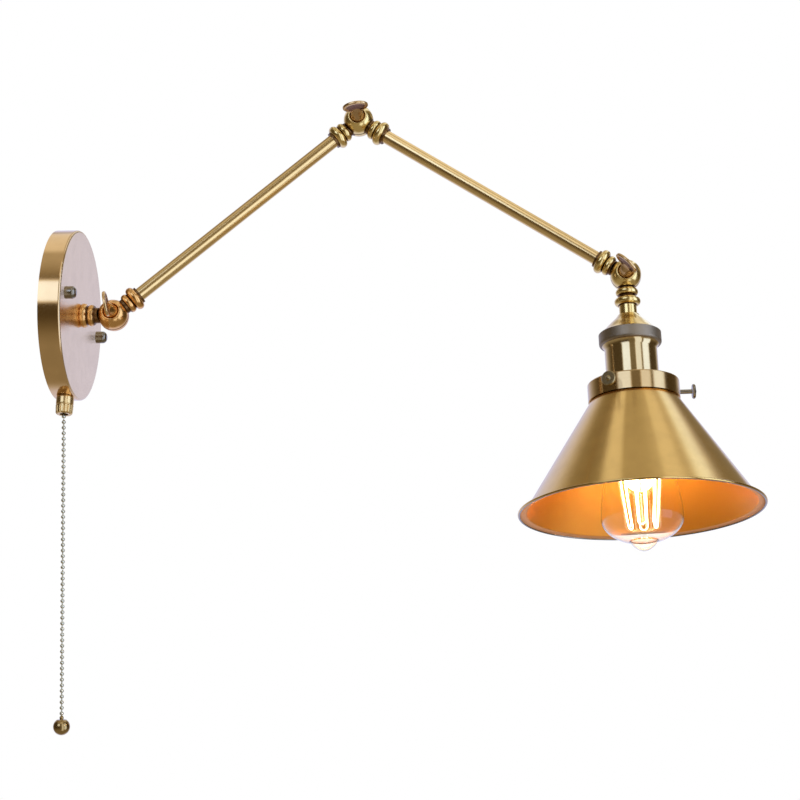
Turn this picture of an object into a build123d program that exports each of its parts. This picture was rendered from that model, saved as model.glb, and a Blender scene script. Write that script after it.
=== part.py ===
from build123d import *
from math import asin, cos, pi, radians, sin
import os

# Wall light with two jointed arms, a beaded pull chain and a conical metal shade.
# Millimetres. The origin is the centre of the canopy's back face, on the wall.
# +X leaves the wall, +Z is up, and the wing screws face -Y.

os.makedirs("parts", exist_ok=True)

# ---------------------------------------------------------------- rest pose, degrees
TURN = -15.0            # the whole light is turned on the wall, about the wall's normal
ARM_1_ANGLE = 41.0      # above the horizontal, in the plane of the arms
ARM_2_ANGLE = -32.5
HEAD_ANGLE = -87.0
WING_ANGLES = (-78.0, 10.0, -43.0)   # how far each wing screw happens to be turned

# ---------------------------------------------------------------- running clearances
FIT = 0.05              # radial, round a shaft or a thread
SEAT = 0.05             # between two faces that turn on each other
APART = 0.3             # between curved pieces that only pass each other
CUT_PAST = 1.0          # how far a cut runs past the face it leaves by

# ---------------------------------------------------------------- canopy and its fixings
CANOPY_RADIUS = 62.5
CANOPY_DEPTH = 16.0
CANOPY_SHEET = 1.2
CANOPY_EDGE_ROUND = 1.5
STUD_RADIUS = 2.0
STUD_INSET = 14.0       # from the canopy's edge
STUD_SPACING = 2 * (CANOPY_RADIUS - STUD_INSET)     # between the two cap nuts
STUD_HOLE_RADIUS = 2.25
STUD_REACH = 5.5        # beyond the canopy's face
CAP_NUT_RADIUS = 4.5
CAP_NUT_HEIGHT = 8.0
CAP_NUT_STRAIGHT = 4.8  # up to where its dome begins
CAP_NUT_TIP_RADIUS = 1.5
CAP_NUT_BORE_DEPTH = 6.0
STUD_NUT_ACROSS_FLATS = 7.0
STUD_NUT_HEIGHT = 3.0
BAR_PAST_STUD = 7.0
BAR_LENGTH = STUD_SPACING + 2 * BAR_PAST_STUD
BAR_WIDTH = 20.0
BAR_SHEET = 2.0
BAR_SLOT_INSET = 13.5   # from a stud to the middle of the slot beside it
BAR_SLOT_SPACING = STUD_SPACING - 2 * BAR_SLOT_INSET
BAR_SLOT_LENGTH = 16.0
BAR_SLOT_WIDTH = 4.6
BAR_CENTRE_HOLE_RADIUS = 6.5
GROUND_SCREW_OFFSET = 15.0
GROUND_SCREW_RADIUS = 2.0
GROUND_HEAD_RADIUS = 3.8
GROUND_HEAD_HEIGHT = 2.4
GROUND_HEAD_ROUND = 0.8

# ---------------------------------------------------------------- stem and swivel
STEM_LENGTH = 24.0      # from the canopy's face to the first hinge
STEM_BASE_RADIUS = 8.9
STEM_BASE_WIDTH = 4.6
STEM_RING_RADIUS = 7.8
STEM_RING_WIDTH = 5.2
STEM_GROOVE_RADIUS = 6.6
STEM_GROOVE_WIDTH = 0.7
NIPPLE_RADIUS = 5.0
NIPPLE_BORE_RADIUS = 3.6
NIPPLE_IN_STEM = 6.0    # how far the nipple screws into the stem
NIPPLE_TAIL = 6.0       # how far it ends inside the canopy from its face's inner side
NIPPLE_NUT_ACROSS_FLATS = 14.0
NIPPLE_NUT_HEIGHT = 3.5
NIPPLE_WASHER_RADIUS = 9.0
NIPPLE_WASHER_SHEET = 1.2

# ---------------------------------------------------------------- hinge knuckles
BALL_RADIUS = 11.1
BALL_REACH = 10.6       # from the split to the front lip, along the hinge
BALL_STRAIGHT = 1.5
LIP_RADIUS = 7.2
LIP_WIDTH = 1.5
DISH_DEPTH = 3.0
DISH_FLOOR_RADIUS = 5.2
HALF_GAP = 0.5          # from the split plane to each half
WASHER_RADIUS = 7.5
HINGE_SCREW_RADIUS = 2.5
HINGE_SCREW_TAIL = 8.0  # how far it reaches behind the split
BOSS_RADIUS = 3.5
BOSS_LENGTH = 7.0
WING_START = 17.5       # from the split to the near end of the wing
WING_ROOT = 1.3         # how far the boss's taper runs into the wing
WING_ROOT_RADIUS = 0.8
WING_LENGTH = 14.5
WING_WIDTH = 19.0
WING_THICKNESS = 2.2
WING_RIM = 1.8
WING_DISH = 0.55
WING_ROUND = 0.8

# ---------------------------------------------------------------- arms and their collars
TUBE_RADIUS = 5.0
TUBE_WALL = 1.0
TUBE_LENGTH = 200.0
TUBE_INSET = 17.0       # from a hinge to the end of the tube
ARM_LENGTH = TUBE_LENGTH + 2 * TUBE_INSET       # hinge to hinge
NECK_RADIUS = 5.7
NECK_ROOT = 8.0         # where a neck starts, inside its half-ball
BEAD_1_PLACE = 14.2
BEAD_1_RADIUS = 7.5
BEAD_1_WIDTH = 5.2
BEAD_2_PLACE = 20.0
BEAD_2_RADIUS = 9.2
BEAD_2_WIDTH = 6.2
FLANGE_RADIUS = 6.5
COLLAR_LENGTH = 24.6

# ---------------------------------------------------------------- lamp head
HEAD_BEAD_PLACE = 13.2
HEAD_BEAD_RADIUS = 8.1
HEAD_BEAD_WIDTH = 5.0
HEAD_RING_PLACE = 20.4
HEAD_RING_RADIUS = 9.4
HEAD_RING_WIDTH = 5.2
HEAD_TUBE_RADIUS = 6.3
HEAD_TUBE_END = 35.0
CAP_TOP = 30.8
CAP_WALL = 1.4
CAP_SETBACK = 1.2       # of its edge from the ring's outside
CAP_LEDGE = 1.0
CAP_MIDDLE = (0.5, 0.44)        # a point on its curve, as shares of its rise and spread
CAP_SLOPES = ((0.85, 0.5), (0.6, 0.8))
RING_TOP = 44.6
RING_RADIUS = 22.3
RING_HEIGHT = 7.0
RING_LIP_HEIGHT = 2.2
RING_LIP_DRAW = 1.6
RING_CHAMFER = 0.6
CUP_RADIUS = 18.7
CUP_WALL = 1.0
CUP_COVE_HEIGHT = 3.6
CUP_COVE_MIDDLE = (0.4, 0.35)   # a point on its hollow, as shares of its height and draw
GALLERY_TOP = 82.0
GALLERY_RADIUS = 32.5
GALLERY_HEIGHT = 13.0
GALLERY_WALL = 1.2
GALLERY_ROUND = 1.0
CUP_BELOW_GALLERY = 5.0
RETAINER_RADIUS = 22.0
RETAINER_HEIGHT = 3.2
INSERT_TOP = 50.0
INSERT_FLOOR = 7.0
SHELL_RADIUS = 14.0
SHELL_WALL = 0.5
CONTACT_RADIUS = 4.0
CONTACT_HEIGHT = 4.65
CONTACT_ROUND = 1.5

# ---------------------------------------------------------------- gallery thumb screws
THUMB_COUNT = 3
THUMB_FIRST = -4.0      # degrees round the head, from the side away from the wall
THUMB_PLACE = 89.5
THUMB_RADIUS = 1.6
THUMB_HEAD_RADIUS = 5.25
THUMB_HEAD_SHEET = 2.0
THUMB_HEAD_CHAMFER = 0.5
THUMB_OUTSIDE = 8.9     # shank between the gallery and the head
THUMB_DOME_RADIUS = 1.9
THUMB_DOME_HEIGHT = 0.9

# ---------------------------------------------------------------- shade
SHADE_SHEET = 0.9
SHADE_NECK_RADIUS = 29.4
SHADE_LIP_RADIUS = 30.6
SHADE_TOP = 84.6
SHADE_MOUTH_RADIUS = 85.8
SHADE_MOUTH = 174.6
CONE_SETBACK = 1.3      # of the cone's root from the gallery's outside
FLARE_WIDTH = 4.9       # of the lip round the mouth
FLARE_FALL = 1.4        # how far the lip runs along the lamp's axis
RIM_BEAD_RADIUS = 1.0

# ---------------------------------------------------------------- bulb
BULB_LENGTH = 142.0
BULB_CONTACT_RADIUS = 4.8
BULB_INSULATOR_HEIGHT = 4.0
BULB_CAP_RADIUS = 13.2
BULB_CAP_LENGTH = 23.0
BULB_CAP_WALL = 0.8
BULB_INSULATOR_DRAW = 1.0
BULB_NECK_RADIUS = 14.6
BULB_RADIUS = 29.0
BULB_NECK_LENGTH = 6.0
BULB_DOME_DEPTH = 18.0
BULB_NIPPLE_RADIUS = 7.5
BULB_NIPPLE_HEIGHT = 6.0
BULB_FLARE = (1, 0.12)          # slope of the glass where it leaves the neck
BULB_DOME_POINT = (0.62, 0.74)  # on the dome, as shares of its depth and radius
BULB_DOME_SLOPE = (0.35, -1)
BULB_NIPPLE_SLOPE = (1, -0.8)
GLASS_WALL = 0.8
MOUNT_RADIUS = 3.4
MOUNT_LENGTH = 34.0
CAGE_RADIUS = 14.5
CAGE_FOOT_RADIUS = 9.0
CAGE_DROP = 2.0         # from the end of the glass mount to the cage
CAGE_LENGTH = 60.0
STRAND_SPACING = 15.2   # round the top of the cage
CAGE_STRANDS = round(2 * pi * CAGE_RADIUS / STRAND_SPACING)
STRAND_RADIUS = 0.35
SPIDER_RADIUS = 0.6     # the rod down the middle of the cage
SPIDER_SHEET = 0.8
SPIDER_EDGE = 0.8       # of the cage's discs, outside its strands

# ---------------------------------------------------------------- pull switch and chain
SWITCH_OUT = 8.6        # its axis, from the wall
SWITCH_RADIUS = 5.9
SWITCH_LENGTH = 24.0
BUSHING_RADIUS = 4.5
BUSHING_LENGTH = 5.5
SWITCH_NUT_RADIUS = 6.5
SWITCH_NUT_END_RADIUS = 6.1
SWITCH_NUT_HEIGHT = 13.4
SWITCH_NUT_BORE_RADIUS = 3.1
FLUTE_COUNT = 12
FLUTE_RADIUS = 0.6
FLUTE_LENGTH = 6.0
HOOK_RADIUS = 0.8
HOOK_INSIDE = 14.0      # above the canopy's side
CHAIN_START = 1.6       # first pivot, below the end of the switch's nut
BEAD_RADIUS = 1.5
BEAD_PITCH = 4.03
LINK_RADIUS = 0.5
UPPER_SPAN = 109.0
LOWER_SPAN = 105.0
UPPER_BEADS = round(UPPER_SPAN / BEAD_PITCH)
LOWER_BEADS = round(LOWER_SPAN / BEAD_PITCH)
PULL_BALL_RADIUS = 6.4
PULL_COLLAR_RADIUS = 2.2
PULL_COLLAR_HEIGHT = 1.0
PULL_BALL_DROP = 9.1

# ---------------------------------------------------------------- directions and pivots
OUT = Vector(1, 0, 0)
UP = Vector(0, -sin(radians(TURN)), cos(radians(TURN)))
FRONT = Vector(0, -cos(radians(TURN)), -sin(radians(TURN)))
DOWN = Vector(0, 0, -1)


def heading(angle):
    """Direction in the plane of the arms, in degrees above the way out of the wall."""
    return OUT * cos(radians(angle)) + UP * sin(radians(angle))


HINGE_1 = OUT * (CANOPY_DEPTH + STEM_LENGTH)
HINGE_2 = HINGE_1 + heading(ARM_1_ANGLE) * ARM_LENGTH
HINGE_3 = HINGE_2 + heading(ARM_2_ANGLE) * ARM_LENGTH
HEAD = heading(HEAD_ANGLE)
HEAD_SIDE = heading(HEAD_ANGLE + 90)


def axial_plane(origin, axis, side):
    """Plane whose local X runs along the axis and whose local Y points to the side."""
    return Plane(origin=origin, x_dir=axis, z_dir=axis.cross(side))


def cross_plane(origin, axis, side):
    """Plane square to the axis, with its local X pointing to the side."""
    return Plane(origin=origin, x_dir=side, z_dir=axis)


def spin(outline, plane, mode=Mode.ADD):
    """Revolve a drawn outline about the local X axis of its plane."""
    revolve(outline.sketch, axis=Axis(plane.origin, plane.x_dir), mode=mode)


def turned(plane, *corners, mode=Mode.ADD):
    """Turned solid with straight sides through (place along the axis, radius) corners."""
    with BuildSketch(plane) as outline:
        with BuildLine():
            Polyline(*corners, close=True)
        make_face()
    spin(outline, plane, mode)


def ring(plane, start, end, inner, outer, mode=Mode.ADD):
    """Plain ring, or a disc where the inner radius is 0."""
    turned(plane, (start, inner), (end, inner), (end, outer), (start, outer), mode=mode)


def bead(place, width, foot, crown):
    """Arc of one rounded bead, from foot radius to crown radius and back."""
    ThreePointArc((place - width / 2, foot), (place, crown), (place + width / 2, foot))


def dome(place, radius, height):
    """Arc of a round dome, from its foot at radius up to the axis."""
    sphere = (radius ** 2 + height ** 2) / (2 * height)
    half_angle = asin(radius / sphere) / 2
    centre = place + height - sphere
    ThreePointArc((place, radius), (centre + sphere * cos(half_angle), sphere * sin(half_angle)),
                  (place + height, 0))


def hoop(centre, axis, radius, wire):
    """Round wire bent into a closed hoop about the axis."""
    with Locations(Plane(origin=centre, z_dir=axis)):
        Torus(major_radius=radius, minor_radius=wire)


def hexagon_nut(plane, across_flats, height, hole):
    """Hexagon nut standing on the plane."""
    with BuildSketch(plane) as hexagon:
        RegularPolygon(radius=across_flats / 2, side_count=6, major_radius=False)
        Circle(radius=hole, mode=Mode.SUBTRACT)
    extrude(hexagon.sketch, amount=height)


def save(builder, label):
    """Label a finished piece and write it."""
    builder.part.label = label
    export_step(builder.part, f"parts/{label}.step")


# ================================================================ canopy
WALL = axial_plane(Vector(0, 0, 0), OUT, UP)
STUD_PLACES = ((-STUD_SPACING / 2, 0), (STUD_SPACING / 2, 0))
SWITCH_TOP = OUT * SWITCH_OUT
SWITCH = axial_plane(SWITCH_TOP, UP * -1, OUT)
FACE_INSIDE = CANOPY_DEPTH - CANOPY_SHEET

with BuildPart() as canopy:
    with BuildSketch(WALL) as outline:
        with BuildLine():
            rounded = CANOPY_RADIUS - CANOPY_EDGE_ROUND
            Polyline((0, CANOPY_RADIUS - CANOPY_SHEET), (0, CANOPY_RADIUS),
                     (CANOPY_DEPTH - CANOPY_EDGE_ROUND, CANOPY_RADIUS))
            RadiusArc((CANOPY_DEPTH - CANOPY_EDGE_ROUND, CANOPY_RADIUS),
                      (CANOPY_DEPTH, rounded), CANOPY_EDGE_ROUND)
            Polyline((CANOPY_DEPTH, rounded), (CANOPY_DEPTH, NIPPLE_RADIUS + FIT),
                     (FACE_INSIDE, NIPPLE_RADIUS + FIT), (FACE_INSIDE, CANOPY_RADIUS - CANOPY_SHEET),
                     (0, CANOPY_RADIUS - CANOPY_SHEET))
        make_face()
    spin(outline, WALL)
    with BuildSketch(cross_plane(OUT * FACE_INSIDE, OUT, FRONT)) as stud_holes:
        with Locations(*STUD_PLACES):
            Circle(radius=STUD_HOLE_RADIUS)
    extrude(stud_holes.sketch, amount=CANOPY_SHEET, mode=Mode.SUBTRACT)
    ring(SWITCH, CANOPY_RADIUS / 2, CANOPY_RADIUS + CUT_PAST, 0, BUSHING_RADIUS + FIT, mode=Mode.SUBTRACT)
save(canopy, "canopy")

with BuildPart() as crossbar:
    with BuildSketch(cross_plane(Vector(0, 0, 0), OUT, FRONT)):
        SlotOverall(BAR_LENGTH, BAR_WIDTH)
        Circle(radius=BAR_CENTRE_HOLE_RADIUS, mode=Mode.SUBTRACT)
        with Locations(*STUD_PLACES):
            Circle(radius=STUD_RADIUS + FIT, mode=Mode.SUBTRACT)
        with GridLocations(BAR_SLOT_SPACING, 0, 2, 1):
            SlotOverall(BAR_SLOT_LENGTH, BAR_SLOT_WIDTH, mode=Mode.SUBTRACT)
        with Locations((GROUND_SCREW_OFFSET, 0)):
            Circle(radius=GROUND_SCREW_RADIUS + FIT, mode=Mode.SUBTRACT)
    extrude(amount=BAR_SHEET)
save(crossbar, "crossbar")

with BuildPart() as studs:
    with BuildSketch(cross_plane(Vector(0, 0, 0), OUT, FRONT)):
        with Locations(*STUD_PLACES):
            Circle(radius=STUD_RADIUS)
    extrude(amount=CANOPY_DEPTH + STUD_REACH)
save(studs, "crossbar_studs")

with BuildPart() as stud_nuts:
    with BuildSketch(cross_plane(OUT * (BAR_SHEET + SEAT), OUT, FRONT)):
        with Locations(*STUD_PLACES):
            RegularPolygon(radius=STUD_NUT_ACROSS_FLATS / 2, side_count=6, major_radius=False)
            Circle(radius=STUD_RADIUS + FIT, mode=Mode.SUBTRACT)
    extrude(amount=STUD_NUT_HEIGHT)
save(stud_nuts, "stud_nuts")

with BuildPart() as cap_nuts:
    for across in (-STUD_SPACING / 2, STUD_SPACING / 2):
        seat = axial_plane(OUT * CANOPY_DEPTH + FRONT * across, OUT, UP)
        with BuildSketch(seat) as outline:
            with BuildLine():
                Polyline((0, 0), (0, CAP_NUT_RADIUS), (CAP_NUT_STRAIGHT, CAP_NUT_RADIUS))
                TangentArc((CAP_NUT_STRAIGHT, CAP_NUT_RADIUS), (CAP_NUT_HEIGHT, CAP_NUT_TIP_RADIUS),
                           tangent=(1, 0))
                Polyline((CAP_NUT_HEIGHT, CAP_NUT_TIP_RADIUS), (CAP_NUT_HEIGHT, 0), (0, 0))
            make_face()
        spin(outline, seat)
        ring(seat, 0, CAP_NUT_BORE_DEPTH, 0, STUD_RADIUS + FIT, mode=Mode.SUBTRACT)
save(cap_nuts, "cap_nuts")

with BuildPart() as ground_screw:
    ground = axial_plane(FRONT * GROUND_SCREW_OFFSET, OUT, UP)
    ring(ground, 0, BAR_SHEET + SEAT, 0, GROUND_SCREW_RADIUS)
    ring(ground, BAR_SHEET + SEAT, BAR_SHEET + SEAT + GROUND_HEAD_HEIGHT, 0, GROUND_HEAD_RADIUS)
    fillet(ground_screw.faces().sort_by(Axis.X)[-1].edges(), radius=GROUND_HEAD_ROUND)
save(ground_screw, "ground_screw")

# ================================================================ hinge knuckles


def half_ball(hinge, side):
    """Half of a knuckle on one side of its split: rounded, with a lipped dish on its end."""
    axis = FRONT * side
    plane = axial_plane(hinge, axis, OUT)
    lip = BALL_REACH - LIP_WIDTH / 2
    floor = BALL_REACH - DISH_DEPTH
    with BuildSketch(plane) as outline:
        with BuildLine():
            Polyline((floor, HINGE_SCREW_RADIUS + FIT), (HALF_GAP, HINGE_SCREW_RADIUS + FIT),
                     (HALF_GAP, BALL_RADIUS), (BALL_STRAIGHT, BALL_RADIUS))
            TangentArc((BALL_STRAIGHT, BALL_RADIUS), (lip, LIP_RADIUS), tangent=(1, 0))
            ThreePointArc((lip, LIP_RADIUS), (BALL_REACH, LIP_RADIUS - LIP_WIDTH / 2),
                          (lip, LIP_RADIUS - LIP_WIDTH))
            Polyline((lip, LIP_RADIUS - LIP_WIDTH), (floor, DISH_FLOOR_RADIUS),
                     (floor, HINGE_SCREW_RADIUS + FIT))
        make_face()
    spin(outline, plane)


def clear_other_half(hinge, side):
    """Cut a neck away from the space that the other half turns in."""
    plane = axial_plane(hinge, FRONT * side, OUT)
    ring(plane, -2 * BALL_REACH, HALF_GAP, 0, BALL_RADIUS + APART, mode=Mode.SUBTRACT)


def arm_end(hinge, angle, side):
    """Half-ball, neck and beaded collar, with a socket for the arm's tube."""
    plane = axial_plane(hinge, heading(angle), FRONT)
    with BuildSketch(plane) as outline:
        with BuildLine():
            Polyline((TUBE_INSET, 0), (NECK_ROOT, 0), (NECK_ROOT, NECK_RADIUS),
                     (BEAD_1_PLACE - BEAD_1_WIDTH / 2, NECK_RADIUS))
            bead(BEAD_1_PLACE, BEAD_1_WIDTH, NECK_RADIUS, BEAD_1_RADIUS)
            Line((BEAD_1_PLACE + BEAD_1_WIDTH / 2, NECK_RADIUS),
                 (BEAD_2_PLACE - BEAD_2_WIDTH / 2, FLANGE_RADIUS))
            bead(BEAD_2_PLACE, BEAD_2_WIDTH, FLANGE_RADIUS, BEAD_2_RADIUS)
            Polyline((BEAD_2_PLACE + BEAD_2_WIDTH / 2, FLANGE_RADIUS), (COLLAR_LENGTH, FLANGE_RADIUS),
                     (COLLAR_LENGTH, TUBE_RADIUS + FIT), (TUBE_INSET, TUBE_RADIUS + FIT), (TUBE_INSET, 0))
        make_face()
    spin(outline, plane)
    clear_other_half(hinge, side)
    half_ball(hinge, side)


def wing_screw(builder, hinge, angle):
    """Hinge screw with a round boss and a dished oval wing to turn it by."""
    centre = hinge + FRONT * (WING_START + WING_LENGTH / 2)
    across = heading(angle)
    thick = FRONT.cross(across)
    with BuildSketch(Plane(origin=centre, x_dir=across, z_dir=thick)) as wing:
        Ellipse(WING_WIDTH / 2, WING_LENGTH / 2)
    extrude(wing.sketch, amount=WING_THICKNESS / 2, both=True)
    plate = builder.part.faces().filter_by(GeomType.PLANE)
    fillet(plate.edges(), radius=WING_ROUND)
    for face in (1, -1):
        dished = centre + thick * (face * (WING_THICKNESS / 2 - WING_DISH))
        with BuildSketch(Plane(origin=dished, x_dir=across, z_dir=thick * face)) as dish:
            Ellipse(WING_WIDTH / 2 - WING_RIM, WING_LENGTH / 2 - WING_RIM)
        extrude(dish.sketch, amount=WING_DISH, mode=Mode.SUBTRACT)
    shaft = axial_plane(hinge, FRONT, OUT)
    seat = BALL_REACH - DISH_DEPTH + SEAT
    ring(shaft, -HINGE_SCREW_TAIL, seat, 0, HINGE_SCREW_RADIUS)
    ring(shaft, seat, seat + BOSS_LENGTH, 0, BOSS_RADIUS)
    turned(shaft, (seat + BOSS_LENGTH, 0), (seat + BOSS_LENGTH, BOSS_RADIUS),
           (WING_START + WING_ROOT, WING_ROOT_RADIUS), (WING_START + WING_ROOT, 0))


for number, (hinge, wing_angle) in enumerate(zip((HINGE_1, HINGE_2, HINGE_3), WING_ANGLES), 1):
    with BuildPart() as washer:
        ring(axial_plane(hinge, FRONT, OUT), SEAT - HALF_GAP, HALF_GAP - SEAT,
             HINGE_SCREW_RADIUS + FIT, WASHER_RADIUS)
    save(washer, f"friction_washer_{number}")
    with BuildPart() as screw:
        wing_screw(screw, hinge, wing_angle)
    save(screw, f"wing_screw_{number}")

# ================================================================ stem and swivel
NIPPLE_START = FACE_INSIDE - NIPPLE_TAIL - NIPPLE_NUT_HEIGHT
BASE_END = CANOPY_DEPTH + SEAT + STEM_BASE_WIDTH
GROOVE_END = BASE_END + STEM_GROOVE_WIDTH
RING_END = GROOVE_END + STEM_RING_WIDTH
STEM_BORE_END = CANOPY_DEPTH + NIPPLE_IN_STEM

with BuildPart() as stem:
    with BuildSketch(WALL) as outline:
        with BuildLine():
            Line((STEM_BORE_END, 0), (STEM_BORE_END, NIPPLE_RADIUS + FIT))
            Line((STEM_BORE_END, NIPPLE_RADIUS + FIT), (CANOPY_DEPTH + SEAT, NIPPLE_RADIUS + FIT))
            Line((CANOPY_DEPTH + SEAT, NIPPLE_RADIUS + FIT), (CANOPY_DEPTH + SEAT, STEM_RING_RADIUS))
            ThreePointArc((CANOPY_DEPTH + SEAT, STEM_RING_RADIUS),
                          (CANOPY_DEPTH + SEAT + STEM_BASE_WIDTH / 2, STEM_BASE_RADIUS),
                          (BASE_END, STEM_RING_RADIUS))
            Polyline((BASE_END, STEM_RING_RADIUS), (BASE_END, STEM_GROOVE_RADIUS),
                     (GROOVE_END, STEM_GROOVE_RADIUS))
            ThreePointArc((GROOVE_END, STEM_GROOVE_RADIUS),
                          (GROOVE_END + STEM_RING_WIDTH / 2, STEM_RING_RADIUS),
                          (RING_END, STEM_GROOVE_RADIUS))
            Polyline((RING_END, STEM_GROOVE_RADIUS), (RING_END, NECK_RADIUS),
                     (CANOPY_DEPTH + STEM_LENGTH - NECK_ROOT, NECK_RADIUS),
                     (CANOPY_DEPTH + STEM_LENGTH - NECK_ROOT, 0), (STEM_BORE_END, 0))
        make_face()
    spin(outline, WALL)
    clear_other_half(HINGE_1, -1)
    half_ball(HINGE_1, -1)
save(stem, "stem")

with BuildPart() as nipple:
    ring(WALL, NIPPLE_START, STEM_BORE_END - SEAT, NIPPLE_BORE_RADIUS, NIPPLE_RADIUS)
save(nipple, "threaded_nipple")

with BuildPart() as nipple_washer:
    ring(WALL, FACE_INSIDE - SEAT - NIPPLE_WASHER_SHEET, FACE_INSIDE - SEAT,
         NIPPLE_RADIUS + FIT, NIPPLE_WASHER_RADIUS)
save(nipple_washer, "nipple_washer")

with BuildPart() as nipple_nut:
    nut_seat = FACE_INSIDE - 2 * SEAT - NIPPLE_WASHER_SHEET - NIPPLE_NUT_HEIGHT
    hexagon_nut(cross_plane(OUT * nut_seat, OUT, FRONT), NIPPLE_NUT_ACROSS_FLATS,
                NIPPLE_NUT_HEIGHT, NIPPLE_RADIUS + FIT)
save(nipple_nut, "nipple_nut")

# ================================================================ arms
ARMS = ((HINGE_1, HINGE_2, ARM_1_ANGLE), (HINGE_2, HINGE_3, ARM_2_ANGLE))

for number, (inner_hinge, outer_hinge, angle) in enumerate(ARMS, 1):
    with BuildPart() as inner_end:
        arm_end(inner_hinge, angle, 1)
    save(inner_end, f"arm_{number}_inner_end")
    with BuildPart() as outer_end:
        arm_end(outer_hinge, angle + 180, -1)
    save(outer_end, f"arm_{number}_outer_end")
    with BuildPart() as tube:
        margin = TUBE_INSET + SEAT
        ring(axial_plane(inner_hinge, heading(angle), FRONT), margin, ARM_LENGTH - margin,
             TUBE_RADIUS - TUBE_WALL, TUBE_RADIUS)
    save(tube, f"arm_{number}_tube")

# ================================================================ lamp head
LAMP = axial_plane(HINGE_3, HEAD, HEAD_SIDE)
RING_LIP = RING_TOP + RING_HEIGHT
RING_END_PLACE = RING_LIP + RING_LIP_HEIGHT
CUP_END = GALLERY_TOP + CUP_BELOW_GALLERY
GALLERY_END = GALLERY_TOP + GALLERY_HEIGHT

with BuildPart() as head_knuckle:
    with BuildSketch(LAMP) as outline:
        with BuildLine():
            bead_end = HEAD_BEAD_PLACE + HEAD_BEAD_WIDTH / 2
            Polyline((HEAD_TUBE_END, 0), (NECK_ROOT, 0), (NECK_ROOT, NECK_RADIUS),
                     (HEAD_BEAD_PLACE - HEAD_BEAD_WIDTH / 2, NECK_RADIUS))
            bead(HEAD_BEAD_PLACE, HEAD_BEAD_WIDTH, NECK_RADIUS, HEAD_BEAD_RADIUS)
            Line((bead_end, NECK_RADIUS), (HEAD_RING_PLACE - HEAD_RING_WIDTH / 2, HEAD_TUBE_RADIUS))
            bead(HEAD_RING_PLACE, HEAD_RING_WIDTH, HEAD_TUBE_RADIUS, HEAD_RING_RADIUS)
            Polyline((HEAD_RING_PLACE + HEAD_RING_WIDTH / 2, HEAD_TUBE_RADIUS),
                     (HEAD_TUBE_END, HEAD_TUBE_RADIUS), (HEAD_TUBE_END, 0))
        make_face()
    spin(outline, LAMP)
    clear_other_half(HINGE_3, 1)
    half_ball(HINGE_3, 1)
save(head_knuckle, "head_knuckle")

with BuildPart() as socket_cap:
    cap_rise = RING_TOP - CAP_TOP
    cap_spread = RING_RADIUS - HEAD_TUBE_RADIUS - CAP_WALL
    collar_radius = HEAD_TUBE_RADIUS + CAP_WALL
    inside_radius = RING_RADIUS - CAP_WALL - CAP_SETBACK
    with BuildSketch(LAMP) as outline:
        with BuildLine():
            Line((CAP_TOP, HEAD_TUBE_RADIUS + FIT), (CAP_TOP, collar_radius))
            Spline((CAP_TOP, collar_radius),
                   (CAP_TOP + cap_rise * CAP_MIDDLE[0], collar_radius + cap_spread * CAP_MIDDLE[1]),
                   (RING_TOP, RING_RADIUS - CAP_SETBACK), tangents=CAP_SLOPES)
            Polyline((RING_TOP, RING_RADIUS - CAP_SETBACK), (RING_TOP + SEAT, RING_RADIUS - CAP_SETBACK),
                     (RING_TOP + SEAT, inside_radius), (RING_TOP - CAP_LEDGE, inside_radius),
                     (HEAD_TUBE_END + SEAT, collar_radius + CAP_WALL),
                     (HEAD_TUBE_END + SEAT, HEAD_TUBE_RADIUS + FIT), (CAP_TOP, HEAD_TUBE_RADIUS + FIT))
        make_face()
    spin(outline, LAMP)
save(socket_cap, "socket_cap")

with BuildPart() as cap_ring:
    with BuildSketch(LAMP) as outline:
        with BuildLine():
            bore = CUP_RADIUS + FIT
            Polyline((RING_TOP + SEAT, bore), (RING_TOP + SEAT, RING_RADIUS - RING_CHAMFER),
                     (RING_TOP + RING_CHAMFER, RING_RADIUS), (RING_LIP, RING_RADIUS))
            TangentArc((RING_LIP, RING_RADIUS), (RING_END_PLACE, RING_RADIUS - RING_LIP_DRAW),
                       tangent=(1, 0))
            Polyline((RING_END_PLACE, RING_RADIUS - RING_LIP_DRAW), (RING_END_PLACE, bore),
                     (RING_TOP + SEAT, bore))
        make_face()
    spin(outline, LAMP)
save(cap_ring, "cap_ring")

CUP_TOP = RING_TOP + 2 * SEAT
CUP_INSIDE = CUP_RADIUS - CUP_WALL

with BuildPart() as socket_cup:
    with BuildSketch(LAMP) as outline:
        with BuildLine():
            cove = RING_END_PLACE + SEAT
            Polyline((CUP_TOP, HEAD_TUBE_RADIUS), (CUP_TOP, CUP_RADIUS), (cove, CUP_RADIUS),
                     (cove, CUP_RADIUS + RING_LIP_DRAW))
            ThreePointArc((cove, CUP_RADIUS + RING_LIP_DRAW),
                          (cove + CUP_COVE_HEIGHT * CUP_COVE_MIDDLE[0],
                           CUP_RADIUS + RING_LIP_DRAW * CUP_COVE_MIDDLE[1]),
                          (cove + CUP_COVE_HEIGHT, CUP_RADIUS))
            Polyline((cove + CUP_COVE_HEIGHT, CUP_RADIUS), (CUP_END, CUP_RADIUS), (CUP_END, CUP_INSIDE),
                     (CUP_TOP + CUP_WALL, CUP_INSIDE), (CUP_TOP + CUP_WALL, HEAD_TUBE_RADIUS),
                     (CUP_TOP, HEAD_TUBE_RADIUS))
        make_face()
    spin(outline, LAMP)
save(socket_cup, "socket_cup")

INSERT_SEAT = INSERT_TOP + INSERT_FLOOR
INSERT_RADIUS = CUP_INSIDE - FIT

with BuildPart() as insert:
    turned(LAMP, (INSERT_TOP, 0), (INSERT_TOP, INSERT_RADIUS), (CUP_END, INSERT_RADIUS),
           (CUP_END, SHELL_RADIUS + FIT), (INSERT_SEAT, SHELL_RADIUS + FIT), (INSERT_SEAT, 0))
save(insert, "socket_insert")

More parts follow.
